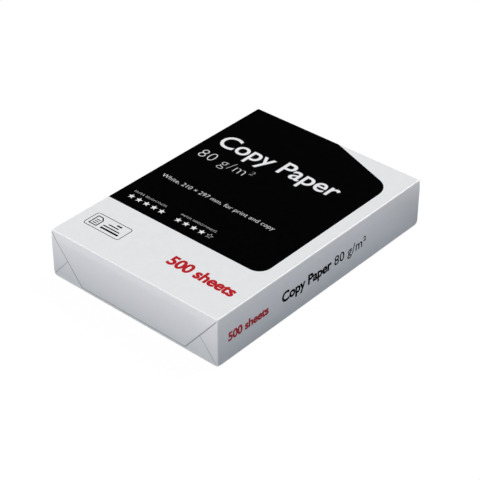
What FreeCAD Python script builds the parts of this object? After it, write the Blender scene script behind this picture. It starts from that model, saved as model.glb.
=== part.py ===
import FreeCAD, Part
import math
import os

import Sketcher

# A wrapped ream of A4 office paper: a stack of cut sheets in one glued paper wrapper.
# The pack is sealed and can't be seen into, so it is one solid, with the wrapper's folds in its form.
# Frame: +Z up, the origin at the middle of the underside, +Y along the sheets' long side, +X across.
# Both ends are closed the same way: the two sides are tucked in, the bottom flap is folded up over
# them, and the top flap is folded down over that and glued.
# Lengths are in millimetres, angles in degrees.

SIZES = [
    ("sheet_width", 210.0, "an A4 sheet's short side"),
    ("sheet_length", 297.0, "an A4 sheet's long side"),
    ("sheet_thickness", 0.104, "one sheet of 80 g/m2 office paper"),
    ("sheet_count", 500, "sheets in the stack"),
    ("wrap_thickness", 0.1, "one layer of the wrapper"),
    ("wrap_slack", 0.1, "room between the stack's long sides and the wrapper"),
    ("fold_step", 0.3, "how far an end flap stands out from what it lies on: two layers and their spring"),
    ("flap_edge_height", 3.1, "the top flap's cut edge above the underside"),
    ("top_fold_angle", 39.0, "the top flap's slanted folds, away from upright"),
    ("bottom_fold_angle", 41.0, "the bottom flap's slanted folds, away from upright"),
    ("top_edge_radius", 1.2, "the crisp folds round the top face"),
    ("base_edge_radius", 2.5, "the softer folds round the underside"),
    ("corner_radius", 1.2, "the upright folds at the four corners"),
    ("lap_offset", 12.5, "the lap seam's cut edge under the pack, from the middle"),
    ("lap_ramp", 3.0, "the width over which the inner layer comes level beside that edge"),
]

# Sizes that follow from the driving ones, as expressions for sketches and features.
HEIGHT = "(sizes.sheet_count * sizes.sheet_thickness + 2 * sizes.wrap_thickness)"
HALF_WIDTH = "(sizes.sheet_width / 2 + sizes.wrap_thickness + sizes.wrap_slack)"
TUCK_FACE = "(sizes.sheet_length / 2 + sizes.wrap_thickness)"
BOTTOM_FLAP_FACE = f"({TUCK_FACE} + sizes.fold_step)"
TOP_FLAP_FACE = f"({TUCK_FACE} + 2 * sizes.fold_step)"
FLAP_CORNER = f"({HALF_WIDTH} - sizes.corner_radius - sizes.fold_step)"
TOP_FOLD_RUN = f"(({HEIGHT} - sizes.flap_edge_height) * tan(sizes.top_fold_angle))"
CROSSING_HEIGHT = (
    f"({HEIGHT} * tan(sizes.top_fold_angle)"
    " / (tan(sizes.top_fold_angle) + tan(sizes.bottom_fold_angle)))"
)
CROSSING_RUN = f"({CROSSING_HEIGHT} * tan(sizes.bottom_fold_angle))"
REACH = 5.0  # how far a cutting sketch runs past the pack
LEAST_CUT = 1e-3  # a pocket that removes less than this, in cubic millimetres, has cut nothing

doc = FreeCAD.newDocument("ream_of_paper")


def make_sheet():
    """The spreadsheet of driving sizes: name, value and meaning, one row each."""
    sheet = doc.addObject("Spreadsheet::Sheet", "sizes")
    sheet.Label = "sizes"
    for row, (alias, number, meaning) in enumerate(SIZES, start=1):
        sheet.set(f"A{row}", alias)
        sheet.set(f"B{row}", str(number))
        sheet.set(f"C{row}", meaning)
        sheet.setAlias(f"B{row}", alias)
    doc.recompute()
    return sheet


sizes = make_sheet()


def worth(expression):
    """What an expression comes to with the sheet's present sizes."""
    return float(sizes.evalExpression(expression))


def add_sketch(body, name, plane_role, offset=None):
    """A sketch on one of the body's origin planes, or at an offset along the plane's normal."""
    plane = next(item for item in body.Origin.OriginFeatures if item.Role == plane_role)
    sketch = body.newObject("Sketcher::SketchObject", name)
    sketch.AttachmentSupport = (plane, "")
    sketch.MapMode = "FlatFace"
    if offset:
        sketch.setExpression("AttachmentOffset.Base.z", offset)
    return sketch


def bind(sketch, kind, geometry, point, expression):
    """A distance of one sketch point from the origin, driven by an expression."""
    index = sketch.addConstraint(Sketcher.Constraint(kind, -1, 1, geometry, point, worth(expression)))
    sketch.setExpression(f"Constraints[{index}]", expression)


def add_polygon(sketch, corners):
    """A closed outline of straight lines through corners, each given as two expressions."""
    points = [FreeCAD.Vector(worth(u), worth(v), 0) for u, v in corners]
    lines = []
    for start, end in zip(points, points[1:] + points[:1]):
        lines.append(sketch.addGeometry(Part.LineSegment(start, end)))
    for line, following in zip(lines, lines[1:] + lines[:1]):
        sketch.addConstraint(Sketcher.Constraint("Coincident", line, 2, following, 1))
    for line, (u, v) in zip(lines, corners):
        bind(sketch, "DistanceX", line, 1, u)
        bind(sketch, "DistanceY", line, 1, v)


def add_outline(sketch, sides):
    """A closed outline, counter-clockwise, of sides that are alternately level and upright.

    A side is ("u" or "v", where it lies, the radius of the corner at its end or None). A "v" side is
    level, at that height in the sketch, and a "u" side is upright, at that distance across it.
    """
    count = len(sides)
    at = [worth(side[1]) for side in sides]
    corners = []
    for index, (axis, _, _) in enumerate(sides):
        here, there = at[index], at[(index + 1) % count]
        corners.append(FreeCAD.Vector(here, there, 0) if axis == "u" else FreeCAD.Vector(there, here, 0))
    radii = [worth(side[2]) if side[2] else 0.0 for side in sides]
    ways = [(corners[i] - corners[i - 1]).normalize() for i in range(count)]
    lines = []
    for i in range(count):
        start = corners[i - 1] + ways[i] * radii[i - 1]
        end = corners[i] - ways[i] * radii[i]
        lines.append(sketch.addGeometry(Part.LineSegment(start, end)))
    for i, (axis, place, radius) in enumerate(sides):
        following = (i + 1) % count
        if axis == "u":
            sketch.addConstraint(Sketcher.Constraint("Vertical", lines[i]))
            bind(sketch, "DistanceX", lines[i], 1, place)
        else:
            sketch.addConstraint(Sketcher.Constraint("Horizontal", lines[i]))
            bind(sketch, "DistanceY", lines[i], 1, place)
        if not radius:
            sketch.addConstraint(Sketcher.Constraint("Coincident", lines[i], 2, lines[following], 1))
            continue
        centre = corners[i] - ways[i] * radii[i] + ways[following] * radii[i]
        circle = Part.Circle(centre, FreeCAD.Vector(0, 0, 1), radii[i])
        last_angle = math.atan2(ways[i].y, ways[i].x)
        arc = sketch.addGeometry(Part.ArcOfCircle(circle, last_angle - math.pi / 2, last_angle))
        sketch.addConstraint(Sketcher.Constraint("Tangent", lines[i], 2, arc, 1))
        sketch.addConstraint(Sketcher.Constraint("Tangent", arc, 2, lines[following], 1))
        index = sketch.addConstraint(Sketcher.Constraint("Radius", arc, radii[i]))
        sketch.setExpression(f"Constraints[{index}]", radius)


def add_frame(sketch, half_u, low_v, high_v):
    """The rectangle round an outline, so that a pocket takes away all that lies between the two."""
    outer = f"({half_u} + {REACH})"
    add_outline(sketch, [
        ("v", f"({low_v} - {REACH})", None),
        ("u", outer, None),
        ("v", f"({high_v} + {REACH})", None),
        ("u", f"-{outer}", None),
    ])


def cut(body, name, sketch, length=None):
    """A pocket to a length below its sketch, or right through both ways; it has to remove something."""
    before = body.Shape.Volume
    pocket = body.newObject("PartDesign::Pocket", name)
    pocket.Profile = sketch
    if length:
        pocket.Type = "Length"
        pocket.setExpression("Length", length)
    else:
        pocket.Type = "ThroughAll"
        pocket.SideType = "Symmetric"
    doc.recompute()
    if before - body.Shape.Volume < LEAST_CUT:
        raise RuntimeError(f"{name} cut nothing away")
    return pocket


def pad_sleeve(body):
    """The wrapper round the stack's long faces: the pack's section, as long as the pack."""
    sketch = add_sketch(body, "sleeve_section", "XZ_Plane")
    add_outline(sketch, [
        ("v", "0", "sizes.base_edge_radius"),
        ("u", HALF_WIDTH, "sizes.top_edge_radius"),
        ("v", HEIGHT, "sizes.top_edge_radius"),
        ("u", f"-{HALF_WIDTH}", "sizes.base_edge_radius"),
    ])
    sleeve = body.newObject("PartDesign::Pad", "sleeve")
    sleeve.Profile = sketch
    sleeve.SideType = "Symmetric"
    sleeve.setExpression("Length", f"2 * {TOP_FLAP_FACE}")
    doc.recompute()


def shape_end_folds(body):
    """Rounds the folds at both ends, and steps in from the top flap's cut edge to the bottom flap."""
    sketch = add_sketch(body, "end_fold_profile", "YZ_Plane")
    add_outline(sketch, [
        ("v", "0", "sizes.base_edge_radius"),
        ("u", BOTTOM_FLAP_FACE, None),
        ("v", "sizes.flap_edge_height", None),
        ("u", TOP_FLAP_FACE, "sizes.top_edge_radius"),
        ("v", HEIGHT, "sizes.top_edge_radius"),
        ("u", f"-{TOP_FLAP_FACE}", None),
        ("v", "sizes.flap_edge_height", None),
        ("u", f"-{BOTTOM_FLAP_FACE}", "sizes.base_edge_radius"),
    ])
    add_frame(sketch, TOP_FLAP_FACE, "0", HEIGHT)
    cut(body, "end_folds", sketch)


def cut_beside_top_flap(body):
    """Leaves the top flap standing out at one end, between its two slanted folds."""
    sketch = add_sketch(body, "beside_top_flap", "XZ_Plane", TOP_FLAP_FACE)
    past = f"({HALF_WIDTH} + {REACH})"
    fold_foot = f"({HALF_WIDTH} - {TOP_FOLD_RUN})"
    for side in ("", "-"):
        add_polygon(sketch, [
            (f"{side}{past}", HEIGHT),
            (f"{side}{HALF_WIDTH}", HEIGHT),
            (f"{side}{fold_foot}", "sizes.flap_edge_height"),
            (f"{side}{past}", "sizes.flap_edge_height"),
        ])
    return cut(body, "top_flap_folds", sketch, "sizes.fold_step")


def cut_tucked_sides(body):
    """The tucked-in sides show as a triangle at each side, below the slanted folds of both flaps."""
    sketch = add_sketch(body, "tucked_sides", "XZ_Plane", TOP_FLAP_FACE)
    past = f"({HALF_WIDTH} + {REACH})"
    crossing = f"({HALF_WIDTH} - {CROSSING_RUN})"
    for side in ("", "-"):
        add_polygon(sketch, [
            (f"{side}{past}", HEIGHT),
            (f"{side}{HALF_WIDTH}", HEIGHT),
            (f"{side}{crossing}", CROSSING_HEIGHT),
            (f"{side}{HALF_WIDTH}", "0"),
            (f"{side}{past}", "0"),
        ])
    return cut(body, "tucked_side_triangles", sketch, "2 * sizes.fold_step")


def mirror_end(body, pockets):
    """Folds the other end the same way."""
    plane = next(item for item in body.Origin.OriginFeatures if item.Role == "XZ_Plane")
    before = body.Shape.Volume
    mirror = body.newObject("PartDesign::Mirrored", "other_end")
    mirror.Originals = pockets
    mirror.MirrorPlane = (plane, [""])
    body.Tip = mirror
    doc.recompute()
    if before - body.Shape.Volume < LEAST_CUT:
        raise RuntimeError("the other end's folds were not cut")


def round_upright_corners(body):
    """Folds each side round its upright corners into the tucked-in end; the flaps lie between them."""
    sketch = add_sketch(body, "plan_of_corners", "XY_Plane")
    past = f"({TOP_FLAP_FACE} + {REACH})"
    sides = []
    for turn in ("", "-"):
        back = "-" if turn == "" else ""
        sides += [
            ("v", f"{back}{past}", None),
            ("u", f"{turn}{FLAP_CORNER}", None),
            ("v", f"{back}{TUCK_FACE}", "sizes.corner_radius"),
            ("u", f"{turn}{HALF_WIDTH}", "sizes.corner_radius"),
            ("v", f"{turn}{TUCK_FACE}", None),
            ("u", f"{turn}{FLAP_CORNER}", None),
        ]
    add_outline(sketch, sides)
    add_frame(sketch, HALF_WIDTH, f"-{past}", past)
    cut(body, "upright_corners", sketch)


def cut_lap_seam(body):
    """The wrapper's long lap seam under the pack: one layer's step at its cut edge, soon level again."""
    sketch = add_sketch(body, "lap_section", "XZ_Plane")
    add_polygon(sketch, [
        ("sizes.lap_offset", "0"),
        ("sizes.lap_offset + sizes.lap_ramp", "0"),
        ("sizes.lap_offset", "sizes.wrap_thickness"),
    ])
    cut(body, "lap_seam", sketch)


def make_wrapped_ream():
    """The sealed pack, as one body."""
    body = doc.addObject("PartDesign::Body", "wrapped_ream")
    body.Label = "wrapped_ream"
    pad_sleeve(body)
    shape_end_folds(body)
    pockets = [cut_beside_top_flap(body), cut_tucked_sides(body)]
    mirror_end(body, pockets)
    round_upright_corners(body)
    cut_lap_seam(body)
    body.Placement = FreeCAD.Placement()
    return body


def check_document(parts):
    """Stops before anything is written if a feature failed, a sketch is loose or a shape is bad."""
    for item in doc.Objects:
        if "Invalid" in item.State or "Error" in item.State:
            raise RuntimeError(f"{item.Name} failed: {item.State}")
        if item.TypeId == "Sketcher::SketchObject" and not item.FullyConstrained:
            raise RuntimeError(f"{item.Name} isn't fully constrained")
    for part in parts:
        if part.Shape.isNull() or not part.Shape.isValid():
            raise RuntimeError(f"{part.Label} has no valid shape")


parts = [make_wrapped_ream()]
doc.recompute()
check_document(parts)
os.makedirs("parts", exist_ok=True)
for part in parts:
    box = part.Shape.BoundBox
    part.Shape.exportStep(os.path.join("parts", f"{part.Label}.step"))
    print(
        f"{part.Label}: {box.XLength:.2f} x {box.YLength:.2f} x {box.ZLength:.2f} mm,"
        f" {part.Shape.Volume / 1000:.2f} cm3, {len(part.Shape.Solids)} solid"
    )
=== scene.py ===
# %% [markdown]
# # A wrapped ream of office paper
# A ream is a stack of cut sheets, sold in one folded and glued paper wrapper. Nothing of the stack
# shows, so all that has to be made is the wrapper: a crisp, flat block with printed faces and two
# folded ends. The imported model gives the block's place and size, and the wrapper is built on it.

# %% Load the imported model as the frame
import math

import bmesh
import bpy
import numpy as np
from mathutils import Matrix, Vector, geometry


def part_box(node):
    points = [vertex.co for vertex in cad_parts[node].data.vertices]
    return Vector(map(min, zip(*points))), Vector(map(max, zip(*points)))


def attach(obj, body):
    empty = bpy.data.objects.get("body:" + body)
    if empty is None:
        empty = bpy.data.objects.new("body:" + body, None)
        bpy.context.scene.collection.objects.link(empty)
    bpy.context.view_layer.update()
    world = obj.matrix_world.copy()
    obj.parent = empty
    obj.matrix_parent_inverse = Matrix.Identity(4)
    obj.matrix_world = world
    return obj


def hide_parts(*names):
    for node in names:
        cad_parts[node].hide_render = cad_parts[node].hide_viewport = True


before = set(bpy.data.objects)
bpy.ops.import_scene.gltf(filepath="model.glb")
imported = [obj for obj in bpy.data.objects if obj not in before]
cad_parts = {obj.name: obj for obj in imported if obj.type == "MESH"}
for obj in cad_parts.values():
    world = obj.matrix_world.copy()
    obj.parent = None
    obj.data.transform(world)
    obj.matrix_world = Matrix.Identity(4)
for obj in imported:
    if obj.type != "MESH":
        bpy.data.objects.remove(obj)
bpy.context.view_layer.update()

low_corner, high_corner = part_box("wrapped_ream")
print("the pack's box in metres:", tuple(low_corner), tuple(high_corner))

# %% [markdown]
# ## Sizes
# All the drawing is done in millimetres, as on the flat printed sheet, and turned into metres at the
# end. The block's three sizes come from the frame. The folds are crisp, because the wrapper is drawn
# tight over the stack's sharp edges. Only the four corners at the base are softer: a ream is set
# down on them.

# %% The block and its folds, in millimetres
MM = 0.001
WIDTH, LENGTH, HEIGHT = (high_corner - low_corner) / MM
HALF_WIDTH, HALF_LENGTH = WIDTH / 2, LENGTH / 2
HALF_SIZES = np.array([HALF_WIDTH, HALF_LENGTH, HEIGHT / 2])
FOLD_RADIUS = 1.4


def smooth(value):
    """An S-shaped ramp, from 0 to 1 as value goes from 0 to 1."""
    value = np.clip(value, 0.0, 1.0)
    return value * value * (3.0 - 2.0 * value)


print(f"block {WIDTH:.1f} x {LENGTH:.1f} x {HEIGHT:.1f} mm")

# %% [markdown]
# ## The end folds
# Each end is closed like a parcel. The two sides are tucked in first. The bottom flap is folded up
# over them, and the top flap is folded down over that and glued. A flap is wide where it leaves the
# pack and narrows along two slanted folds, where the sheet doubles back under itself. So each
# slanted fold is a small round roll that stands out from the layer below, with a dark crease at its
# foot. Lines drawn in the material would catch no light, so here they are shape: one function says
# how deep the surface lies at each place of the end, and the mesh gets rows of points along each
# fold. The crease's darkness is also painted shade, laid into the colour in and beside each crease.

# %% Where the flaps' folds run
FLAP_STEP = 0.13  # a flap stands out this far from the layer below it
FLAP_EDGE_HEIGHT = 3.75  # the top flap's cut edge, above the base
TOP_FOLD_SLOPE = math.tan(math.radians(39.0))  # run inwards for each millimetre down
BOTTOM_FOLD_SLOPE = math.tan(math.radians(41.0))  # run inwards for each millimetre up
TOP_FOLD_START, BOTTOM_FOLD_START = 1.0, 1.8  # a fold shows from this far off its corner
FOLD_GROWTH = 3.0  # and it is at its full width after this much more
NARROWEST = 0.02  # a fold's width at its very corner, as a share of its full width
LEFT_OPEN = 1.4  # the top flap's crease, and the painted shade in it, are this many times wider on the left

crossing_height = HEIGHT * TOP_FOLD_SLOPE / (TOP_FOLD_SLOPE + BOTTOM_FOLD_SLOPE)
crossing_across = HALF_WIDTH - crossing_height * BOTTOM_FOLD_SLOPE
print(f"the folds cross {crossing_height:.1f} mm up and {crossing_across:.1f} mm out")


# %% How far inside or outside a fold a place on the end lies
def from_slanted_fold(x, z, corner_height, slope, start):
    """Distance inwards from the two slanted folds that start at the corners at one height.

    A fold is narrower near its corner, so the same distance counts for more there.
    """
    outwards = HALF_WIDTH - np.abs(x)
    along_z = np.abs(z - corner_height)
    size = math.hypot(slope, 1.0)
    distance = (outwards - along_z * slope) / size
    along = (outwards * slope + along_z) / size
    return distance / np.clip((along - start) / FOLD_GROWTH, NARROWEST, 1.0)


def from_top_flap(x, z):
    """Distance inwards from the top flap's edges: its two slanted folds and its cut edge."""
    slanted = from_slanted_fold(x, z, HEIGHT, TOP_FOLD_SLOPE, TOP_FOLD_START)
    slanted = np.where((x < 0.0) & (slanted < 0.0), slanted / LEFT_OPEN, slanted)
    return np.minimum(slanted, z - FLAP_EDGE_HEIGHT)


def from_bottom_flap(x, z):
    """Distance inwards from the bottom flap's slanted folds."""
    return from_slanted_fold(x, z, 0.0, BOTTOM_FOLD_SLOPE, BOTTOM_FOLD_START)


print(f"an end's middle lies {from_top_flap(0.0, HEIGHT / 2):.1f} mm inside the top flap")

# %% How deep the surface lies at each place on the end
ROLL = 0.42  # width of the rounded edge of a doubled layer
CREASE = 0.85  # width of the crease at the foot of the roll, which painted shade darkens
CREASE_DEPTH = 0.06
CREASE_WALL = 0.07  # width of the crease's steep side, under the roll
CREASE_FLOOR = 0.55  # and how far out its deepest part reaches
CORNER_FADE = 14.0  # the layers come together over this length towards a corner
CROWN = 0.12  # how far the top flap is pressed in at its middle
CROWN_FROM_EDGES, CROWN_FROM_TOP = 24.0, 14.0  # and how far from its borders that is reached
BASE_PRESSED_OUT = 0.17  # the stack presses the fold below an end outwards
TOP_DRAWN_IN = 0.7  # the fold above an end is drawn tight over the stack's top sheet
DRAWN_HEIGHT = 11.0  # and pulls the end in from this far below
ROLL_SHADE = 0.36  # painted shade reaches this far up the roll from its foot
SHADE_GROWTH = 1.6  # the creases' painted shade reaches its full strength this far from a corner
BOTTOM_CREASE_SHADE = 0.64  # the bottom flap's creases get this share of the painted shade, as the top flap holds them flat


def rolled(distance):
    """Height of a rounded edge, from 0 at its foot to 1 on the flap."""
    reach = np.clip(distance / ROLL, 0.0, 1.0)
    return np.sqrt(1.0 - (1.0 - reach) ** 2)


def creased(distance):
    """Depth of the crease outside a fold, from 0 to 1."""
    steep_side = smooth(-distance / CREASE_WALL)
    gentle_side = smooth((distance + CREASE) / (CREASE - CREASE_FLOOR))
    return np.where(distance < 0.0, steep_side * gentle_side, 0.0)


def off_corner(x, z, corner_height, start):
    """0 at the two corners at one height, and 1 some way off them."""
    away = np.hypot(HALF_WIDTH - np.abs(x), z - corner_height)
    return smooth((away - start) / CORNER_FADE)


def end_depth(x, z):
    """How far the surface of a folded end lies inside the pack's length, in millimetres."""
    off_top = off_corner(x, z, HEIGHT, TOP_FOLD_START)
    off_base = off_corner(x, z, 0.0, BOTTOM_FOLD_START)
    bottom, top = from_bottom_flap(x, z), from_top_flap(x, z)
    tucked_side = 2 * FLAP_STEP * off_top - FLAP_STEP * (1.0 - off_base)
    below = tucked_side - FLAP_STEP * off_base * rolled(bottom)
    below = below + CREASE_DEPTH * off_base * creased(bottom)
    beside = below + CREASE_DEPTH * off_top * creased(top)
    pressed_in = CROWN * smooth(top / CROWN_FROM_EDGES) * smooth((HEIGHT - z) / CROWN_FROM_TOP)
    depth = np.where(top > 0.0, below * (1.0 - rolled(top)) + pressed_in, beside)
    depth = depth + TOP_DRAWN_IN * (1.0 - smooth((HEIGHT - z) / DRAWN_HEIGHT))
    return depth - BASE_PRESSED_OUT * (1.0 - smooth(z / FLAP_EDGE_HEIGHT))


def shade_beside(distance):
    """Painted shade: 1 in a crease, where hardly any light comes out, and less on the roll's foot
    beside it.
    """
    painted_crease_shade = smooth((distance + CREASE) / (CREASE - CREASE_FLOOR))
    return painted_crease_shade * smooth((ROLL_SHADE - distance) / ROLL_SHADE)


def crease_shade(x, z):
    """How much painted shade the creases lay on each place of an end, from 0 to 1."""
    top, bottom = from_top_flap(x, z), from_bottom_flap(x, z)
    off_top, off_base = HEIGHT - z, np.hypot(HALF_WIDTH - np.abs(x), z)
    beside_top = shade_beside(top) * smooth(off_top / SHADE_GROWTH)
    beside_bottom = shade_beside(bottom) * smooth(off_base / SHADE_GROWTH) * (top < 0.0)
    return np.maximum(beside_top, BOTTOM_CREASE_SHADE * beside_bottom)


for layer, across in (("top flap", 0.0), ("tucked side", HALF_WIDTH)):
    print(f"the {layer} lies {end_depth(across, HEIGHT / 2):.2f} mm in, half way up")

# %% [markdown]
# ## Outlines for the print
# The wrapper is printed flat, before it is folded, with flat areas of ink: a large black field that
# runs over the left and back folds, small black marks, the count of sheets in red, and lettering
# left white in the black. Ink could be an image, but an image has a fixed fineness and a part should
# not carry one. Each ink area is drawn here as closed outlines. The outlines are cut into the mesh,
# so that every face is wholly inked or wholly bare, and the edge of a letter stays sharp from any
# distance.


# %% Outlines with rounded corners
def rounded_outline(corners, step=12.0):
    """A closed outline through (x, y, radius) corners, with an arc at each one that has a radius."""
    outline = []
    for number, (x, y, radius) in enumerate(corners):
        corner = np.array([x, y])
        before = np.array(corners[number - 1][:2]) - corner
        after = np.array(corners[(number + 1) % len(corners)][:2]) - corner
        before, after = before / np.linalg.norm(before), after / np.linalg.norm(after)
        if radius == 0:
            outline.append(corner)
            continue
        half_angle = math.acos(np.dot(before, after)) / 2
        middle = before + after
        centre = corner + middle / np.linalg.norm(middle) * radius / math.sin(half_angle)
        reach = radius / math.tan(half_angle)
        first, last = corner + before * reach - centre, corner + after * reach - centre
        turn = math.pi - 2 * half_angle
        count = max(3, math.ceil(math.degrees(turn) / step))
        for share in np.linspace(0.0, 1.0, count + 1):
            weights = math.sin((1 - share) * turn), math.sin(share * turn)
            outline.append(centre + (first * weights[0] + last * weights[1]) / math.sin(turn))
    return np.array(outline)


def bar(left, low, right, high, radius=0.0):
    """A rectangle's outline, with rounded corners if it has a radius."""
    corners = [(left, low), (right, low), (right, high), (left, high)]
    return rounded_outline([(x, y, radius) for x, y in corners])


def frame_outlines(left, low, right, high, radius, line):
    """The two outlines of a drawn frame, line millimetres wide. The inner one runs the other way."""
    inner = bar(left + line, low + line, right - line, high - line, radius - line)
    return [bar(left, low, right, high, radius), inner[::-1]]


print("a square centimetre with 2 mm corners has", len(bar(0, 0, 10, 10, 2.0)), "points")

# %% [markdown]
# Lettering comes from Blender's own built-in font, so nothing is read from disk. A text object with
# no fill gives just the outlines of its letters. The font has one weight, so each outline's points
# are moved outwards for a bolder letter and inwards for a lighter one. A letter's inner outline runs
# the other way round, so the same move makes its opening smaller. The words are generic: what it is,
# its size, its weight and its count.

# %% Make an outline bolder
LONGEST_MITRE = 1.6  # a sharp corner's point moves no further than this many times the move


def signed_area(outline):
    """Above 0 if the outline runs anticlockwise."""
    x, y = outline.T
    return 0.5 * float(np.sum(x * np.roll(y, -1) - np.roll(x, -1) * y))


def bolder(outline, move):
    """An outline with each point moved to the left of its run, and so outwards if it is clockwise."""
    ahead = np.roll(outline, -1, axis=0) - outline
    ahead /= np.maximum(np.linalg.norm(ahead, axis=1, keepdims=True), 1e-9)
    to_left = np.stack([-ahead[:, 1], ahead[:, 0]], axis=1)
    both = to_left + np.roll(to_left, 1, axis=0)
    length = np.maximum(np.linalg.norm(both, axis=1, keepdims=True), 1e-9)
    return outline + both / length * np.minimum(2.0 / length, LONGEST_MITRE) * move


grown = bolder(bar(0.0, 0.0, 10.0, 10.0)[::-1], 1.0)
print("a square centimetre moved out by 1 mm is", round(np.ptp(grown[:, 0]), 1), "mm wide")

# %% Lettering as outlines
CAPITAL_SHARE = 0.682  # height of a capital, as a share of the font's size
BOLD, PLAIN, LIGHT = 0.012, -0.012, -0.024  # outward moves, as shares of the font's size
LETTER_STEPS = 5  # points along each curve of a letter


def trace(drawn):
    """The closed outlines of a mesh that has only edges."""
    points = np.array([vertex.co[:2] for vertex in drawn.vertices], float)
    joined = {}
    for edge in drawn.edges:
        a, b = edge.vertices
        joined.setdefault(a, []).append(b)
        joined.setdefault(b, []).append(a)
    outlines, used = [], set()
    for start in range(len(points)):
        if start in used:
            continue
        outline, here = [], start
        while here is not None:
            used.add(here)
            outline.append(here)
            here = next((other for other in joined[here] if other not in used), None)
        outlines.append(points[outline])
    return outlines


def new_object(name, data):
    """An object that shows a mesh, a text, a light or a camera, put into the scene."""
    made = bpy.data.objects.new(name, data)
    bpy.context.scene.collection.objects.link(made)
    return made


def lettering(words, left, baseline, capital, weight, spacing=1.0):
    """The outlines of a line of words whose capitals are that many millimetres high."""
    text = bpy.data.curves.new("lettering", "FONT")
    text.body = words
    text.space_character = spacing
    text.resolution_u = LETTER_STEPS
    text.fill_mode = "NONE"
    holder = new_object("lettering", text)
    bpy.context.view_layer.update()
    outlines = trace(holder.to_mesh())
    holder.to_mesh_clear()
    bpy.data.objects.remove(holder)
    bpy.data.curves.remove(text)
    if sum(signed_area(outline) for outline in outlines) > 0:
        outlines = [outline[::-1] for outline in outlines]
    outlines = [bolder(outline, weight) for outline in outlines]
    scale = capital / CAPITAL_SHARE
    start_x = min(outline[:, 0].min() for outline in outlines)
    return [(outline - (start_x, 0.0)) * scale + (left, baseline) for outline in outlines]


def right_end(outlines):
    """Where a group of outlines ends on the right."""
    return max(outline[:, 0].max() for outline in outlines)


sample = lettering("A4", 0.0, 0.0, 10.0, BOLD)
print("A4 in bold, 10 mm high:", len(sample), "outlines,", round(right_end(sample), 1), "mm wide")

# %% [markdown]
# ## The black field
# The field's front edge runs straight across the top, and its back right part is cut off by a slanted
# line that runs on over the back fold. Both lines are one line each on the flat sheet, so the left
# side and the far end carry on exactly where the top stops. All that is hidden is finished plainly:
# the left side is black as far as the field's front edge, and so is the far end down to the line.

# %% The black field on the top, the left side and the far end
BLEED = 5.0  # outlines run this far past a panel's border, and are trimmed there
FIELD_FRONT, FIELD_RIGHT = -73.5, 89.8  # its two straight edges on the top
FIELD_BEND = 116.6  # where its right edge turns into the slanted line
SLANT = 0.3666  # the line runs back this much for each millimetre to the left
FRONT_CORNER, BEND_CORNER = 13.5, 21.5  # the radii of its two rounded corners


def slant_at(y):
    """How far across the pack the slanted line is, at a place along the flat sheet."""
    return FIELD_RIGHT - (y - FIELD_BEND) / SLANT


left_out, back_out, up_out = -HALF_WIDTH - BLEED, HALF_LENGTH + BLEED, HEIGHT + BLEED
top_field = rounded_outline([
    (left_out, FIELD_FRONT, 0),
    (FIELD_RIGHT, FIELD_FRONT, FRONT_CORNER),
    (FIELD_RIGHT, FIELD_BEND, BEND_CORNER),
    (slant_at(back_out), back_out, 0),
    (left_out, back_out, 0),
])
left_field = bar(FIELD_FRONT, -BLEED, back_out, up_out)

slant_at_fold = slant_at(HALF_LENGTH)
slant_drop = (slant_at_fold + HALF_WIDTH) / (1 / SLANT + TOP_FOLD_SLOPE)
far_end_field = np.array([
    (left_out, up_out),
    (slant_at(HALF_LENGTH - BLEED), up_out),
    (slant_at_fold - slant_drop / SLANT, HEIGHT - slant_drop),
    (-crossing_across, crossing_height),
    (-HALF_WIDTH, 0.0),
    (left_out, -BLEED),
])
print(f"the slanted line crosses the back fold at x = {slant_at_fold:.1f} mm")

# %% [markdown]
# ## Lettering and small marks
# Two rows of stars give a rating, each under a small caption, and the last star is only an outline.
# An outlined box holds a plain sheet with a turned corner and a few bars, where a pack has its small
# print. The inks are then laid down in order, as a printer does it, and a later one covers an
# earlier one. White lettering in the black is bare paper, so it counts as an ink of its own, laid
# down over the black.

# %% Stars
STAR_ACROSS, STAR_ROW, STAR_PITCH = 7.5, -58.7, 9.95  # size, place up the sheet, and spacing
STAR_WAIST = 0.42  # a star's inner points, as a share of its outer ones
STAR_LINE = 0.84  # the hollow part of an outlined star, as a share of its size
first_rating, second_rating = -87.4, -25.8  # where each row's first star stands


def star(x, y, across):
    """A five-pointed star's outline."""
    outline = []
    for point in range(10):
        reach = across / 2 / math.sin(math.radians(72)) * (STAR_WAIST if point % 2 else 1.0)
        angle = math.radians(90 + 36 * point)
        outline.append((x + reach * math.cos(angle), y + reach * math.sin(angle)))
    return np.array(outline)


stars = []
for first in (first_rating, second_rating):
    stars += [star(first + number * STAR_PITCH, STAR_ROW, STAR_ACROSS) for number in range(5)]
stars.append(star(second_rating + 4 * STAR_PITCH, STAR_ROW, STAR_ACROSS * STAR_LINE)[::-1])
print(len(stars), "star outlines")

# %% The boxed label, with a plain sheet and bars in it
label = frame_outlines(left=-91.5, low=-120.5, right=-45.2, high=-98.8, radius=3.0, line=0.8)
SHEET_LEFT, SHEET_RIGHT, SHEET_LOW, SHEET_TOP = -87.6, -77.0, -116.9, -102.5
SHEET_LINE, SHEET_TURN = 1.3, 4.0
TURN_SHARE = 0.6  # the turned corner gets shorter by this share of the inset


def turned_sheet(inset):
    """A sheet's outline with one corner cut off, drawn so far inside its edge."""
    left, right = SHEET_LEFT + inset, SHEET_RIGHT - inset
    low, top = SHEET_LOW + inset, SHEET_TOP - inset
    turn = SHEET_TURN - inset * TURN_SHARE
    return np.array([(left, low), (right, low), (right, top - turn), (right - turn, top), (left, top)])


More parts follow.
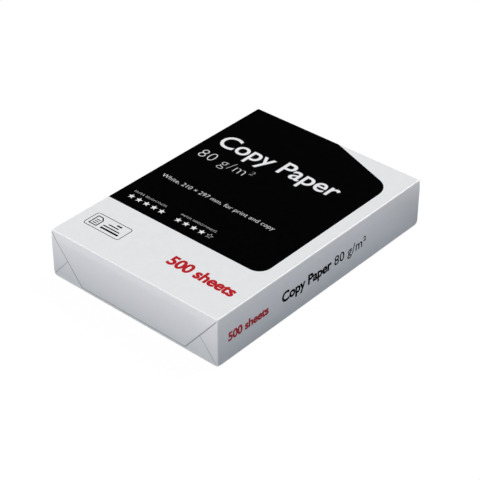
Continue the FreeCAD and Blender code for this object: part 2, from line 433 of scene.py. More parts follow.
label += [turned_sheet(0.0), turned_sheet(SHEET_LINE)[::-1]]
LINE_LOW, LINE_PITCH, LINE_INSET, LINE_THICK = 2.9, 2.7, 2.6, 1.1  # the lines on the sheet
for row in range(3):
    low = SHEET_LOW + LINE_LOW + LINE_PITCH * row
    label.append(bar(SHEET_LEFT + LINE_INSET, low, SHEET_RIGHT - LINE_INSET, low + LINE_THICK))
BAR_TOP, BAR_PITCH, BAR_CORNER = -103.4, 3.9, 0.4
bar_rows = [(-62.5, -56.0, 2.0), (-69.5, -56.5, 1.5), (-73.0, -52.0, 1.5), (-73.0, -50.0, 2.4)]
for row, (left, right, thick) in enumerate(bar_rows):
    middle = BAR_TOP - BAR_PITCH * row
    label.append(bar(left, middle - thick / 2, right, middle + thick / 2, BAR_CORNER))
print("the label has", len(label), "outlines")

# %% The lines of lettering
CAPTION_ROW, CAPTION_CAPITAL = -51.2, 2.9
SIDE_BASELINE, SIDE_GAP = 21.4, 4.0
NAME_WEIGHT, COUNT_WEIGHT, SMALL_COUNT_WEIGHT = 0.040, 0.042, 0.046  # heavier than bold
title = lettering("Copy Paper", -91.0, 66.4, 21.8, BOLD, 0.99)
weight_line = lettering("80 g/m²", -91.8, 38.0, 14.2, LIGHT, 1.1)
strapline = lettering("White, 210 × 297 mm, for print and copy", -91.5, -13.4, 5.7, PLAIN, 1.02)
captions = lettering("PAPER BRIGHTNESS", -91.5, CAPTION_ROW, CAPTION_CAPITAL, LIGHT, 1.17)
captions += lettering("PAPER SMOOTHNESS", -30.0, CAPTION_ROW, CAPTION_CAPITAL, LIGHT, 1.15)
count_on_top = lettering("500 sheets", 11.3, -115.6, 12.8, COUNT_WEIGHT, 0.98)
count_on_side = lettering("500 sheets", -135.3, SIDE_BASELINE, 8.8, SMALL_COUNT_WEIGHT, 0.98)
name_on_side = lettering("Copy Paper", -62.0, SIDE_BASELINE, 10.4, NAME_WEIGHT, 0.98)
weight_left = right_end(name_on_side) + SIDE_GAP
weight_on_side = lettering("80 g/m²", weight_left, SIDE_BASELINE, 10.2, BOLD, 1.06)
print(f"the title ends at x = {right_end(title):.1f} mm, the count at {right_end(count_on_top):.1f}")

# %% Which ink goes where, in the order of printing
BARE, BLACK_INK, RED_INK = 0, 1, 2
prints = {
    "top": [
        (BLACK_INK, [top_field]),
        (BARE, title + weight_line + strapline + captions + stars),
        (BLACK_INK, label),
        (RED_INK, count_on_top),
    ],
    "left_side": [(BLACK_INK, [left_field])],
    "right_side": [(BLACK_INK, name_on_side + weight_on_side), (RED_INK, count_on_side)],
    "far_end": [(BLACK_INK, [far_end_field])],
}
print("printed panels:", list(prints))

# %% [markdown]
# ## Six panels
# The block is made of six flat panels that share their borders. A panel's points lie in rows. Near a
# border the rows come close together, because that strip becomes the rounded fold. Then Blender's
# own triangulation joins all of a panel's points, and it keeps every outline and every fold as an
# edge of the mesh. Rounding a finished box with a bevel would shift the ink at the folds and break
# the rows, so the points are placed flat first and are only then moved on to the rounded block.

# %% Rows of points across a panel
FOLD_STEPS = 4  # rows in half a rounded fold
BESIDE_FOLD = (2.0, 3.3)  # two more rows this far in, for the softer corners
EDGE_GAP, ROW_GAP = 5.0, 6.0  # from a border to the first ordinary row, and from row to row


def rows_between(low, high):
    """Places of the rows across a panel, with even steps round the folds at both borders."""
    angles = np.radians(45.0 * np.arange(FOLD_STEPS, -1, -1) / FOLD_STEPS)
    beside = np.concatenate([FOLD_RADIUS * (1.0 - np.tan(angles)), BESIDE_FOLD])
    count = round((high - low - 2 * EDGE_GAP) / ROW_GAP) + 1
    inner = np.linspace(low + EDGE_GAP, high - EDGE_GAP, count)
    return np.concatenate([low + beside, inner, high - beside[::-1]])


def panel_rows(left, right, low, high):
    """A panel's rows of points, from border to border."""
    across = rows_between(left, right)
    return [[(u, v) for u in across] for v in rows_between(low, high)]


flat_rows = panel_rows(-HALF_WIDTH, HALF_WIDTH, -HALF_LENGTH, HALF_LENGTH)
side_rows = panel_rows(-HALF_LENGTH, HALF_LENGTH, 0.0, HEIGHT)
end_rows = panel_rows(-HALF_WIDTH, HALF_WIDTH, 0.0, HEIGHT)
panels = {
    "top": (flat_rows, lambda u, v: (u, v, HEIGHT + 0 * u)),
    "underside": (flat_rows, lambda u, v: (u, v, 0 * u)),
    "left_side": (side_rows, lambda u, v: (-HALF_WIDTH + 0 * u, u, v)),
    "right_side": (side_rows, lambda u, v: (HALF_WIDTH + 0 * u, u, v)),
    "near_end": (end_rows, lambda u, v: (u, -HALF_LENGTH + 0 * u, v)),
    "far_end": (end_rows, lambda u, v: (u, HALF_LENGTH + 0 * u, v)),
}
for name, (grid, place) in panels.items():
    print(name, "has", len(grid), "rows of", len(grid[0]), "points")

# %% Rows of points along the end folds
ROLL_ROWS = (ROLL, 0.26, 0.13, 0.04, 0.0)  # closer together towards the foot of the roll
CREASE_ROWS = (-CREASE_WALL, -CREASE_FLOOR, -(CREASE_FLOOR + CREASE) / 2, -CREASE)
GROWING_SHARES = np.array([0.0, 0.25, 0.5, 1.0])  # points along a fold while it widens
FOLD_POINT_GAP = 4.0
FOOT_POINTS = 25  # points along the top flap's cut edge
PAST_CROSSING = 3.0  # the bottom flap's folds run on this far under the top flap


def slanted_row(offset, side, corner_height, slope, start, last_run):
    """One row beside a slanted fold, from its start to where it has run last_run up or down."""
    size = math.hypot(slope, 1.0)
    last = last_run * size + offset * slope
    growing = start + FOLD_GROWTH * GROWING_SHARES
    steady = np.linspace(growing[-1], last, round((last - growing[-1]) / FOLD_POINT_GAP) + 1)[1:]
    row = []
    for along in np.concatenate([growing, steady]):
        share = min(1.0, (along - start) / FOLD_GROWTH)
        outwards = (along * slope + offset * share) / size
        rise = (along - offset * share * slope) / size
        z = corner_height - rise if corner_height else rise
        row.append((side * (HALF_WIDTH - outwards), z))
    return row


def end_fold_rows():
    """All the rows of points along the folds of one end."""
    rows = []
    for offset in ROLL_ROWS + CREASE_ROWS:
        drop = HEIGHT - FLAP_EDGE_HEIGHT - offset
        left_offset = min(offset, offset * LEFT_OPEN)
        left = slanted_row(left_offset, -1, HEIGHT, TOP_FOLD_SLOPE, TOP_FOLD_START, drop)
        right = slanted_row(offset, 1, HEIGHT, TOP_FOLD_SLOPE, TOP_FOLD_START, drop)
        foot = np.linspace(left[-1][0], right[-1][0], FOOT_POINTS)[1:-1]
        rows.append(left + [(x, FLAP_EDGE_HEIGHT + offset) for x in foot] + right[::-1])
        for side in (-1, 1):
            rise = crossing_height + PAST_CROSSING
            rows.append(slanted_row(offset, side, 0.0, BOTTOM_FOLD_SLOPE, BOTTOM_FOLD_START, rise))
    return rows


print("an end has", len(end_fold_rows()), "rows along its folds")

# %% [markdown]
# Under the pack, the sheet's two long edges lie over one another in a glued lap seam. It is only one
# layer's step, so two rows of points close together make its edge, and two more let the paper come
# level again.

# %% The lap seam under the pack
LAP_AT, LAP_EDGE, LAP_RAMP, LAP_DEPTH = 12.5, 0.12, 3.0, 0.16
OVERRUN = 1.0  # the seam's rows run this far past a border, and are trimmed there


def lap_rise(x, z):
    """How far the lap seam lifts the underside, in millimetres."""
    up = np.clip((x - LAP_AT) / LAP_EDGE, 0.0, 1.0)
    level_again = 1.0 - smooth((x - LAP_AT - LAP_EDGE) / LAP_RAMP)
    return LAP_DEPTH * up * level_again * (1.0 - smooth(z / FOLD_RADIUS))


def lap_rows(low, high):
    """The seam's rows of points across a panel."""
    top_of_edge = LAP_AT + LAP_EDGE
    places = (LAP_AT, top_of_edge, top_of_edge + LAP_RAMP / 2, top_of_edge + LAP_RAMP)
    return [[(x, low), (x, high)] for x in places]


ink_end = [(left_out, FIELD_FRONT), (-HALF_WIDTH + FOLD_RADIUS, FIELD_FRONT)]  # of the left side
end_lines = end_fold_rows() + lap_rows(-OVERRUN, FOLD_RADIUS)
extra_rows = {
    "near_end": end_lines,
    "far_end": end_lines,
    "underside": lap_rows(-HALF_LENGTH - OVERRUN, HALF_LENGTH + OVERRUN) + [ink_end],
}
print(f"the seam lifts the underside by {lap_rise(LAP_AT + LAP_EDGE, 0.0):.2f} mm")

# %% Join a panel's points into triangles
TOUCH = 1e-4  # points nearer than this are one
CLEAR_OF_FOLD = 1.1  # the points of ordinary rows stay this far off an end's fold lines


def near_end_fold(u, v):
    """Whether a place on an end is so near a fold that the fold's own rows do the work."""
    top, bottom = from_top_flap(u, v), from_bottom_flap(u, v)
    return (abs(top) < CLEAR_OF_FOLD) | ((abs(bottom) < CLEAR_OF_FOLD) & (top < 0))


def cut_panel(name, grid):
    """A panel's points, its triangles and their middles. Outlines and fold rows are kept as edges."""
    points, edges = [], []

    def add_line(line, closed=False):
        first = len(points)
        points.extend(map(Vector, line))
        edges.extend((first + n, first + n + 1) for n in range(len(line) - 1))
        if closed:
            edges.append((len(points) - 1, first))

    columns = list(zip(*grid))
    ring = FOLD_STEPS + 1
    for line in grid[:ring] + grid[-ring:] + columns[:ring] + columns[-ring:]:
        add_line(line)
    for line in grid[ring:-ring]:
        for u, v in line[ring:-ring]:
            if not (name.endswith("_end") and near_end_fold(u, v)):
                points.append(Vector((u, v)))
    for line in extra_rows.get(name, []):
        add_line(line)
    for ink, outlines in prints.get(name, []):
        for outline in outlines:
            add_line(outline, closed=True)
    joined = geometry.delaunay_2d_cdt(points, edges, [], 0, TOUCH, False)
    corners = np.array([tuple(point) for point in joined[0]])
    triangles = np.array(joined[2])
    middles = corners[triangles].mean(axis=1)
    low, high = np.array(grid[0][0]), np.array(grid[-1][-1])
    kept = np.all((middles > low) & (middles < high), axis=1)
    return corners, triangles[kept], middles[kept]


print("the middle of an end is near a fold:", bool(near_end_fold(0.0, HEIGHT / 2)))


# %% Which triangles are inked
def turns_round(outline, places):
    """How many times an outline runs round each place, and below 0 for clockwise."""
    low, high = outline.min(axis=0), outline.max(axis=0)
    count = np.zeros(len(places), int)
    near = np.flatnonzero(np.all((places > low) & (places < high), axis=1))
    x, y = places[near].T
    for (x0, y0), (x1, y1) in zip(outline, np.roll(outline, -1, axis=0)):
        if y0 == y1:
            continue
        to_the_right = x < x0 + (y - y0) * (x1 - x0) / (y1 - y0)
        count[near] += ((y0 <= y) & (y < y1) & to_the_right).astype(int)
        count[near] -= ((y1 <= y) & (y < y0) & to_the_right).astype(int)
    return count


def ink_of(name, places):
    """The ink on each place of a panel, laid down in the order of printing."""
    inks = np.full(len(places), BARE)
    for ink, outlines in prints.get(name, []):
        inks[sum(turns_round(outline, places) for outline in outlines) != 0] = ink
    return inks


flat_panels = {}
for name, (grid, place) in panels.items():
    corners, triangles, middles = cut_panel(name, grid)
    flat_panels[name] = corners, triangles, ink_of(name, middles)
    print(name, len(triangles), "triangles,", int((flat_panels[name][2] > 0).sum()), "inked")

# %% [markdown]
# ## Folding the panels into the pack
# Each flat point now moves to its place on the rounded block. The block's inner box is smaller by
# the fold's radius on every side, and a point goes out from the nearest place on that box by one
# radius. In the middle of a panel this leaves it where it was, and near a border it lays it round
# the fold. After that, the end folds, the tight folds along the top and the four soft corners at
# the base press the points near them inwards.

# %% From the flat panels to the rounded pack
BLOCK_MIDDLE = np.array([0.0, 0.0, HEIGHT / 2])
END_REACH = 12.0  # a panel beside an end follows its folds this far in
SIDE_DRAWN_IN = 0.4  # the folds above the sides are drawn in too, but less
CORNER_PRESS = 0.6  # how far a corner at the base is pressed in
CORNER_REACH, CORNER_HEIGHT = 5.0, 5.5  # how far that reaches along the base and upwards


def on_rounded_block(points):
    """Points on the sharp box, moved on to the block with rounded folds."""
    inner = HALF_SIZES - FOLD_RADIUS
    nearest = np.clip(points - BLOCK_MIDDLE, -inner, inner) + BLOCK_MIDDLE
    outwards = points - nearest
    outwards /= np.linalg.norm(outwards, axis=1, keepdims=True)
    return nearest + outwards * FOLD_RADIUS


def folded(points):
    """The same points with the folds and the base corners pressed in, and the lap seam's step."""
    x, y, z = points.T
    from_side, from_end = HALF_WIDTH - np.abs(x), HALF_LENGTH - np.abs(y)
    depth = end_depth(x, z) * (1.0 - smooth(from_end / END_REACH))
    near_corner = 1.0 - smooth(np.maximum(from_side, from_end) / CORNER_REACH)
    pressed = CORNER_PRESS * near_corner * (1.0 - smooth(z / CORNER_HEIGHT))
    drawn_in = SIDE_DRAWN_IN * smooth((z - HEIGHT + DRAWN_HEIGHT) / DRAWN_HEIGHT)
    drawn_in = drawn_in * (1.0 - smooth(from_side / END_REACH))
    new_x = x - np.sign(x) * (pressed + drawn_in)
    new_y = y - np.sign(y) * (depth + pressed)
    return np.stack([new_x, new_y, z + lap_rise(x, z)], axis=1)


def on_sharp_box(name, corners):
    """A panel's points on the block with sharp edges, in millimetres."""
    return np.stack(panels[name][1](*corners.T), axis=1)


def pack_points(name, corners):
    """A panel's points in the pack, in millimetres from the middle of its base."""
    return folded(on_rounded_block(on_sharp_box(name, corners)))


top_corner = pack_points("top", np.array([[HALF_WIDTH, -HALF_LENGTH]]))[0]
print("the near right corner of the top is rounded to", np.round(top_corner, 2))

# %% [markdown]
# Shading needs to know which way the paper faces at each point. Blender would work that out from the
# triangles round the point, but these are long and thin beside a fold and would leave faint teeth
# there. So it comes from the folded shape itself: two tiny steps along the panel show how it slopes.

# %% Which way the paper faces
TINY_STEP = 0.01


def pack_facing(name, corners):
    """The direction the paper faces at each of a panel's points."""
    def change(step):
        return pack_points(name, corners + step) - pack_points(name, corners - step)

    facing = np.cross(change((TINY_STEP, 0.0)), change((0.0, TINY_STEP)))
    facing /= np.linalg.norm(facing, axis=1, keepdims=True)
    outwards = np.sum(facing * (pack_points(name, corners) - BLOCK_MIDDLE), axis=1)
    return facing * np.sign(np.median(outwards))


fold_middle = np.array([[HALF_WIDTH, 0.0]])
print("the middle of the right top fold faces", np.round(pack_facing("top", fold_middle)[0], 2))

# %% [markdown]
# ## One closed mesh
# The six panels become one mesh, and their shared borders are welded. A closed mesh with no loose
# or doubled faces is also what a printer or a slicer needs. Each panel keeps its flat shape in a UV
# map, all at one scale, so that a baked copy of the materials keeps its small print.
# The directions worked out above become the mesh's own normals once the borders are welded.

# %% Where each panel lies on the UV map
UV_GAP = 4.0
uv_places = {
    "top": (UV_GAP, UV_GAP, False),
    "underside": (2 * UV_GAP + WIDTH, UV_GAP, False),
    "left_side": (3 * UV_GAP + 2 * WIDTH, UV_GAP, True),
    "right_side": (4 * UV_GAP + 2 * WIDTH + HEIGHT, UV_GAP, True),
    "near_end": (UV_GAP, 2 * UV_GAP + LENGTH, False),
    "far_end": (2 * UV_GAP + WIDTH, 2 * UV_GAP + LENGTH, False),
}
uv_side = 5 * UV_GAP + 2 * WIDTH + 2 * HEIGHT


def uv_of(name, corners):
    """A panel's points on the UV map, upright or turned by a quarter."""
    left, low, turned = uv_places[name]
    inside = corners - np.array(panels[name][0][0][0])
    if turned:
        inside = inside[:, ::-1]
    return (inside + (left, low)) / uv_side


print(f"the UV map is {uv_side:.0f} mm wide at the pack's own scale")

# %% How near a fold a point is, for the wear that only folds get
FOLD_SPREAD = 0.9  # the wear fades out this far beyond the rounding


def near_fold(points):
    """1 on the pack's twelve rounded folds, falling to 0 on the flats beside them."""
    inside = HALF_SIZES - np.abs(points - BLOCK_MIDDLE)
    second = np.sort(inside, axis=1)[:, 1]
    return 1.0 - smooth(second / (FOLD_RADIUS + FOLD_SPREAD))


print("wear in the middle of the top:", near_fold(np.array([[0.0, 0.0, HEIGHT]]))[0])

# %% Build the mesh
points, facings, faces, inks, uvs, wear, shade = [], [], [], [], [], [], []
for name, (corners, triangles, ink) in flat_panels.items():
    faces.extend((triangles + sum(map(len, points))).tolist())
    points.append(pack_points(name, corners))
    facings.append(pack_facing(name, corners))
    wear.append(near_fold(on_sharp_box(name, corners)))
    on_end = name.endswith("_end")
    # only the ends get painted crease shade
    shade.append(crease_shade(*corners.T) if on_end else np.zeros(len(corners)))
    inks.extend(ink.tolist())
    uvs.append(uv_of(name, corners)[triangles].reshape(-1, 2))

mesh = bpy.data.meshes.new("printed_wrapper")
mesh.from_pydata((np.concatenate(points) * MM).tolist(), [], faces)
mesh.polygons.foreach_set("material_index", inks)
uv_map = mesh.uv_layers.new(name="OFBake")
uv_map.data.foreach_set("uv", np.concatenate(uvs).astype(np.float32).ravel())
for attribute, values in (("near_fold", wear), ("painted_crease_shade", shade)):
    made = mesh.attributes.new(attribute, "FLOAT", "POINT")
    made.data.foreach_set("value", np.concatenate(values).astype(np.float32))
made = mesh.attributes.new("facing", "FLOAT_VECTOR", "POINT")
made.data.foreach_set("vector", np.concatenate(facings).astype(np.float32).ravel())
print("before welding:", len(mesh.vertices), "points and", len(mesh.polygons), "triangles")

# %% Weld the panels' borders and shade the mesh
WELD = 0.002 * MM  # points nearer than this are joined
welded = bmesh.new()
welded.from_mesh(mesh)
bmesh.ops.remove_doubles(welded, verts=welded.verts, dist=WELD)
loose = [vertex for vertex in welded.verts if not vertex.link_faces]
bmesh.ops.delete(welded, geom=loose, context="VERTS")
bmesh.ops.recalc_face_normals(welded, faces=welded.faces)
open_edges = sum(len(edge.link_faces) != 2 for edge in welded.edges)
volume = welded.calc_volume() / MM ** 3 / 1000
welded.to_mesh(mesh)
welded.free()
facing = np.empty(len(mesh.vertices) * 3, np.float32)
mesh.attributes["facing"].data.foreach_get("vector", facing)
mesh.attributes.remove(mesh.attributes["facing"])
mesh.shade_smooth()
mesh.normals_split_custom_set_from_vertices(facing.reshape(-1, 3).tolist())

wrapper = new_object("printed_wrapper", mesh)
print(len(wrapper.data.polygons), "triangles,", open_edges, "open edges,", round(volume, 1), "cm3")

# %% [markdown]
# ## Finishes
# The wrapper is a bleached paper with a thin coat, so it is white, a little satin and very finely
# mottled, because the light goes a short way into its fibres. Both inks lie on the same paper, so
# they share its grain. The grain is one node group with named inputs, placed in each material with
# its own values: it gives a tint that varies over the surface, a roughness and a height for the
# bump. The shader itself stays in the material.


# %% Helpers for node trees
def fill(tree, socket, source):
    """Links a socket to its source, or sets it where the source is only a value."""
    if isinstance(source, bpy.types.NodeSocket):
        tree.links.new(source, socket)
    else:
        socket.default_value = source


def feed(tree, node, **sources):
    """Fills some of a node's input sockets, by their names."""
    for name, source in sources.items():
        fill(tree, node.inputs[name.replace("_", " ")], source)


def add_node(tree, kind, **sources):
    """A node of one kind, with some of its input sockets filled."""
    node = tree.nodes.new(kind)
    feed(tree, node, **sources)
    return node


def new_group(name, inputs, outputs):
    """An empty shader node group with named sockets, and its input and output nodes."""
    group = bpy.data.node_groups.new(name, "ShaderNodeTree")
    for socket, kind, value in inputs:
        made = group.interface.new_socket(name=socket, in_out="INPUT", socket_type=kind)
        made.default_value = value
    for socket, kind in outputs:
        group.interface.new_socket(name=socket, in_out="OUTPUT", socket_type=kind)
    return group, group.nodes.new("NodeGroupInput"), group.nodes.new("NodeGroupOutput")


# %% Noise, and what is made of it
NOISE_LOW, NOISE_HIGH = 0.3, 0.7  # nearly all of a noise lies between these


def spread(tree, value, low, high):
    """Stretches a noise value, which stays near a half, to run from low to high."""
    ends = {"From_Min": NOISE_LOW, "From_Max": NOISE_HIGH, "To_Min": low, "To_Max": high}
    return add_node(tree, "ShaderNodeMapRange", Value=value, **ends).outputs["Result"]


def blend(tree, kind, share, first, second):
    """From the first colour or value to the second as share goes from 0 to 1."""
    node = tree.nodes.new("ShaderNodeMix")
    node.data_type = kind
    feed(tree, node, Factor=share, A=first, B=second)
    return node.outputs["Result"]


def noise(tree, grains, detail, roughness):
    """Noise that is fixed to the pack, with so many grains to a metre."""
    place = tree.nodes.new("ShaderNodeTexCoord").outputs["Object"]
    fineness = {"Scale": grains, "Detail": detail, "Roughness": roughness}
    return add_node(tree, "ShaderNodeTexNoise", Vector=place, **fineness).outputs["Fac"]


print("noise from", NOISE_LOW, "to", NOISE_HIGH, "is stretched over each range")

# %% The paper's grain, as one group
COLOUR, NUMBER = "NodeSocketColor", "NodeSocketFloat"
paper_grain, given, result = new_group(
    "paper_grain",
    [
        ("Light", COLOUR, (0.8, 0.8, 0.8, 1)),
        ("Dark", COLOUR, (0.75, 0.75, 0.75, 1)),
        ("Smoothest", NUMBER, 0.4),
        ("Roughest", NUMBER, 0.5),
    ],
    [("Color", COLOUR), ("Roughness", NUMBER), ("Height", NUMBER)],
)
CLOUDS, FIBRES = 160.0, 1500.0  # how many fit in a metre
FIBRE_SHARE = 0.6  # of the tint; the clouds have the rest
clouds = noise(paper_grain, CLOUDS, 2.0, 0.5)
fibres = noise(paper_grain, FIBRES, 3.0, 0.6)
mottle = blend(paper_grain, "FLOAT", FIBRE_SHARE, clouds, fibres)
tint = spread(paper_grain, mottle, 0.0, 1.0)
feed(
    paper_grain,
    result,
    Color=blend(paper_grain, "RGBA", tint, given.outputs["Dark"], given.outputs["Light"]),
    Roughness=spread(paper_grain, clouds, given.outputs["Smoothest"], given.outputs["Roughest"]),
    Height=fibres,
)
print("paper_grain gives", [socket.name for socket in result.inputs if socket.name])

# %% [markdown]
# Ink cracks where a sheet is folded, and the folds of a pack rub on shelves and on other packs. A
# crease beside a flap goes deep between the layers, so hardly any light comes out of it, and that
# shade is painted into the colour. Both marks are one more group, shared by all three finishes. It
# reads two values that the mesh carries for each point: how near a fold it is, which noise breaks up
# into small flecks of bare paper, and how much painted crease shade it gets, which darkens it.

# %% Wear at the folds and painted crease shade, as one group
fold_wear_and_crease_shade, given, result = new_group(
    "fold_wear_and_crease_shade",
    [
        ("Color", COLOUR, (0, 0, 0, 1)),
        ("Bare", COLOUR, (0.7, 0.7, 0.7, 1)),
        ("Wear", NUMBER, 0.2),
        # the colour of the painted crease shade
        ("Crease", COLOUR, (0.1, 0.1, 0.1, 1)),
    ],
    [("Color", COLOUR)],
)
FLECKS = 900.0  # how many fit in a metre
CRACK_FROM, CRACK_TO = 0.6, 0.75  # only the noise's highest places crack


def mesh_value(tree, name):
    """A value that the mesh carries for each point."""
    node = tree.nodes.new("ShaderNodeAttribute")
    node.attribute_name = name
    return node.outputs["Fac"]


def product(tree, first, second):
    """Two values multiplied."""
    node = tree.nodes.new("ShaderNodeMath")
    node.operation = "MULTIPLY"
    fill(tree, node.inputs[0], first)
    fill(tree, node.inputs[1], second)
    return node.outputs[0]


cracked = add_node(fold_wear_and_crease_shade, "ShaderNodeMapRange", From_Min=CRACK_FROM, From_Max=CRACK_TO)
feed(fold_wear_and_crease_shade, cracked, Value=noise(fold_wear_and_crease_shade, FLECKS, 4.0, 0.7))
on_fold = product(fold_wear_and_crease_shade, mesh_value(fold_wear_and_crease_shade, "near_fold"), cracked.outputs["Result"])
fleck_share = product(fold_wear_and_crease_shade, on_fold, given.outputs["Wear"])
worn = blend(fold_wear_and_crease_shade, "RGBA", fleck_share, given.outputs["Color"], given.outputs["Bare"])
painted_crease_shade = mesh_value(fold_wear_and_crease_shade, "painted_crease_shade")
# the painted crease shade darkens the colour
feed(fold_wear_and_crease_shade, result, Color=blend(fold_wear_and_crease_shade, "RGBA", painted_crease_shade, worn, given.outputs["Crease"]))
print("fold_wear_and_crease_shade takes", [socket.name for socket in given.outputs if socket.name])


# %% The three finishes
BARE_PAPER = (0.80, 0.80, 0.805)
CREASE_LIGHT = 0.36  # painted crease shade: the share of a finish's colour that is left in a crease
GRAIN_STRENGTH, GRAIN_HEIGHT = 0.12, 0.05  # of the bump


def paper_finish(name, light, dark, smoothest, roughest, gloss, wear=0.0):
    """Coated paper, or ink on it: its two tints, its range of roughness and how much it mirrors."""
    material = bpy.data.materials.new(name)
    material.use_nodes = True
    tree = material.node_tree
    shader = tree.nodes["Principled BSDF"]
    grain = tree.nodes.new("ShaderNodeGroup")
    grain.node_tree = paper_grain
    feed(tree, grain, Light=(*light, 1), Dark=(*dark, 1), Smoothest=smoothest, Roughest=roughest)
    marks = tree.nodes.new("ShaderNodeGroup")
    marks.node_tree = fold_wear_and_crease_shade
    # the painted crease shade is a darker copy of the finish's own tint
    painted_crease_shade = [CREASE_LIGHT * value for value in dark]
    feed(tree, marks, Bare=(*BARE_PAPER, 1), Wear=wear, Crease=(*painted_crease_shade, 1))
    feed(tree, marks, Color=grain.outputs["Color"])
    bump = add_node(tree, "ShaderNodeBump", Strength=GRAIN_STRENGTH, Distance=GRAIN_HEIGHT * MM)
    feed(tree, bump, Height=grain.outputs["Height"])
    feed(tree, shader, Base_Color=marks.outputs["Color"], Roughness=grain.outputs["Roughness"])
    feed(tree, shader, Normal=bump.outputs["Normal"])
    shader.inputs["Specular IOR Level"].default_value = gloss
    return material


paper_shade = (0.775, 0.777, 0.783)
black, deep_black = (0.0006, 0.0006, 0.0007), (0.0002, 0.0002, 0.0003)
red, deep_red = (0.46, 0.0105, 0.016), (0.42, 0.0085, 0.013)
finishes = [
    paper_finish("coated_white_paper", BARE_PAPER, paper_shade, 0.30, 0.40, gloss=1.0),
    paper_finish("black_ink", black, deep_black, 0.34, 0.42, gloss=0.02, wear=0.12),
    paper_finish("red_ink", red, deep_red, 0.38, 0.48, gloss=0.2, wear=0.2),
]
for finish in finishes:
    wrapper.data.materials.append(finish)
print("finishes:", [finish.name for finish in finishes])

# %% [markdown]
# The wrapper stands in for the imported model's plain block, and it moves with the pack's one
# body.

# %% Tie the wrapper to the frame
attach(wrapper, "root")
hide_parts("wrapped_ream")

# %% [markdown]
# ## Floor, light and camera
# The floor is a plain white sweep. A pack is shown on pure white, so that is what the camera sees,
# with only a trace of the pack's shadow. The pack itself is lit by a floor of a calmer white. Light
# Path tells the two apart. The pack shades the floor near it too, and that darkens the foot of its
# sides a little.

# %% The floor
FLOOR_HALF = 6000.0
FLOOR_GAP = 0.05  # the floor is this far under the pack, so that the two never share a plane


def level_sheet(name, low, high, lift):
    """A level rectangle between two corners, lifted off the pack's base, all in millimetres."""
    corners = bar(*low, *high)
    height = low_corner.z + lift * MM
    made = bpy.data.meshes.new(name)
    made.from_pydata([(x * MM, y * MM, height) for x, y in corners], [], [(0, 1, 2, 3)])
    return new_object(name, made)


floor = level_sheet("floor", (-FLOOR_HALF, -FLOOR_HALF), (FLOOR_HALF, FLOOR_HALF), -FLOOR_GAP)
print("the floor lies", FLOOR_GAP, "mm under the pack")

# %% The floor's finish, seen as one white and lighting the pack as another
FLOOR_TO_CAMERA = 0.97  # the camera sees this much pure white, and the rest is the lit floor
FLOOR_WHITE = 1.01  # the strength of that white
FLOOR_TO_PACK = (0.745, 0.755, 0.785)


def seen_and_lit(tree, seen, lit, output, share=1.0):
    """Gives the camera a share of one shader, and everything else the other."""
    path = tree.nodes.new("ShaderNodeLightPath")
    both = tree.nodes.new("ShaderNodeMixShader")
    tree.links.new(product(tree, path.outputs["Is Camera Ray"], share), both.inputs[0])
    tree.links.new(lit.outputs[0], both.inputs[1])
    tree.links.new(seen.outputs[0], both.inputs[2])
    tree.links.new(both.outputs[0], output.inputs["Surface"])


floor_finish = bpy.data.materials.new("white_sweep")
floor_finish.use_nodes = True
tree = floor_finish.node_tree
tree.nodes.remove(tree.nodes["Principled BSDF"])
seen = add_node(tree, "ShaderNodeEmission", Color=(1, 1, 1, 1), Strength=FLOOR_WHITE)
lit = add_node(tree, "ShaderNodeBsdfDiffuse", Color=(*FLOOR_TO_PACK, 1))
seen_and_lit(tree, seen, lit, tree.nodes["Material Output"], FLOOR_TO_CAMERA)
floor.data.materials.append(floor_finish)
print("the floor lights the pack with", FLOOR_TO_PACK)

# %% The room's own light
ROOM_LIGHT, ROOM_TINT = 0.10, (0.88, 0.92, 1.0)
world = bpy.data.worlds.new("studio")
bpy.context.scene.world = world
world.use_nodes = True
tree = world.node_tree
backdrop = tree.nodes["Background"]
backdrop.inputs["Color"].default_value = (1, 1, 1, 1)
room = add_node(tree, "ShaderNodeBackground", Color=(*ROOM_TINT, 1), Strength=ROOM_LIGHT)
seen_and_lit(tree, backdrop, room, tree.nodes["World Output"])
print("room light:", ROOM_LIGHT)

# %% [markdown]
# A white floor lights the lower part of an upright face as much as the upper part, and then the face
# looks flat. So a dark card lies on the floor along each side and each end, as in a studio, and the
# faces fall off softly towards the base. The cards are a little blue, which cools the shade. The
# camera doesn't see them, and they cast no shadow.

# %% Dark cards along the sides and ends
CARD_REACH, CARD_LIFT = 50.0, 0.3  # out from the pack's faces, and up from its base
CARD_GAP = 1.0  # between the pack and a card
CARD_TINT = (0.88, 0.99, 1.14)
END_CARD, SIDE_CARD = 0.22, 0.44  # how light the cards are


def dark_card(name, low, high, shade):
    """A card on the floor between two corners, which lights the pack but isn't seen."""
    finish = bpy.data.materials.new(name)
    finish.use_nodes = True
    shader = finish.node_tree.nodes["Principled BSDF"]
    shader.inputs["Base Color"].default_value = (*(shade * tint for tint in CARD_TINT), 1)
    shader.inputs["Specular IOR Level"].default_value = 0.0
    card = level_sheet(name, low, high, CARD_LIFT)
    card.data.materials.append(finish)
    card.visible_camera = False
    card.visible_shadow = False


out_x, out_y = HALF_WIDTH + CARD_REACH, HALF_LENGTH + CARD_REACH
beside, before = HALF_WIDTH + CARD_GAP, HALF_LENGTH + CARD_GAP
dark_card("near_card", (-out_x, -out_y), (out_x, -before), END_CARD)
dark_card("far_card", (-out_x, before), (out_x, out_y), END_CARD)
dark_card("left_card", (-out_x, -HALF_LENGTH), (-beside, HALF_LENGTH), SIDE_CARD)
dark_card("right_card", (beside, -HALF_LENGTH), (out_x, HALF_LENGTH), SIDE_CARD)
print("the cards reach", CARD_REACH, "mm out")

# %% [markdown]
# Three softboxes do the work. The front one stands low before the folded end and lights it, with a
# trace of blue. The other two stand high, one on the left and one behind, and light the top. Each
# is also placed for a fold: a rounded fold is a narrow mirror, and it shows one light to the camera
# as a thin bright line. The fold above the folded end shows the overhead one, and the fold above
# the right side shows the back one. No light stands where the black top would mirror it to the
# camera, so the black stays deep.

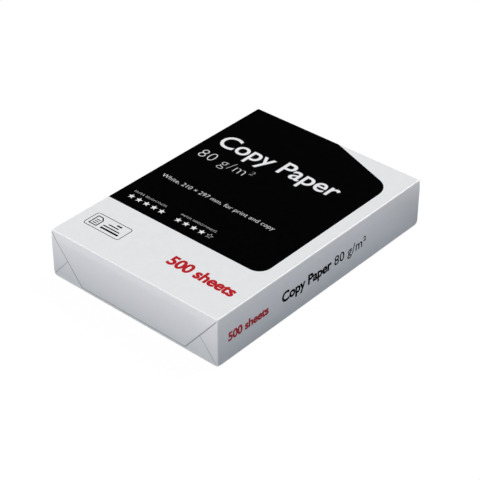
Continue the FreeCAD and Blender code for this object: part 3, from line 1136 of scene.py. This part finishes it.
# %% Softboxes
pack_middle = (low_corner + high_corner) / 2
LIGHT_DISTANCE = 3.0  # metres
COOL = (0.972, 0.986, 1.0)  # a trace of blue


def softbox(name, direction, size, power, colour=(1, 1, 1)):
    """A square area light that looks at the pack from one direction."""
    light = bpy.data.lights.new(name, "AREA")
    light.shape = "SQUARE"
    light.size = size
    light.energy = power
    light.color = colour
    lamp = new_object(name, light)
    away = Vector(direction).normalized()
    lamp.location = pack_middle + away * LIGHT_DISTANCE
    lamp.rotation_mode = "QUATERNION"
    lamp.rotation_quaternion = away.to_track_quat("Z", "Y")
    lamp.visible_camera = False
    return lamp


softboxes = [
    softbox("front", (-0.04, -0.85, 0.52), size=1.4, power=47.8, colour=COOL),
    softbox("back", (0.20, 0.62, 0.76), size=1.2, power=56.0),
    softbox("overhead", (-0.54, -0.12, 0.83), size=1.2, power=29.0),
]
print("softboxes:", [lamp.name for lamp in softboxes])

# %% [markdown]
# The camera looks down on the corner between the folded end and the right side. It stands well back
# and has a long lens, so that edges which run the same way look nearly parallel. The Standard view
# keeps white as white.

# %% The camera
CAMERA_AZIMUTH, CAMERA_ELEVATION, CAMERA_DISTANCE = 41.33, 35.22, 1.4996  # degrees and metres
LENS, SENSOR = 116.28, 36.0  # millimetres
AIM_OFFSET = Vector((4.9, -5.5, -10.9))  # where it looks, in mm from the middle of the pack
aim = pack_middle + AIM_OFFSET * MM
azimuth, elevation = math.radians(CAMERA_AZIMUTH), math.radians(CAMERA_ELEVATION)
backwards = Vector((
    math.sin(azimuth) * math.cos(elevation),
    -math.cos(azimuth) * math.cos(elevation),
    math.sin(elevation),
))
camera_data = bpy.data.cameras.new("camera")
camera_data.lens, camera_data.sensor_width = LENS, SENSOR
camera = new_object("camera", camera_data)
camera.location = aim + backwards * CAMERA_DISTANCE
camera.rotation_mode = "QUATERNION"
camera.rotation_quaternion = backwards.to_track_quat("Z", "Y")
bpy.context.scene.camera = camera
bpy.context.scene.view_settings.view_transform = "Standard"
print("the camera is at", tuple(round(value, 3) for value in camera.location))
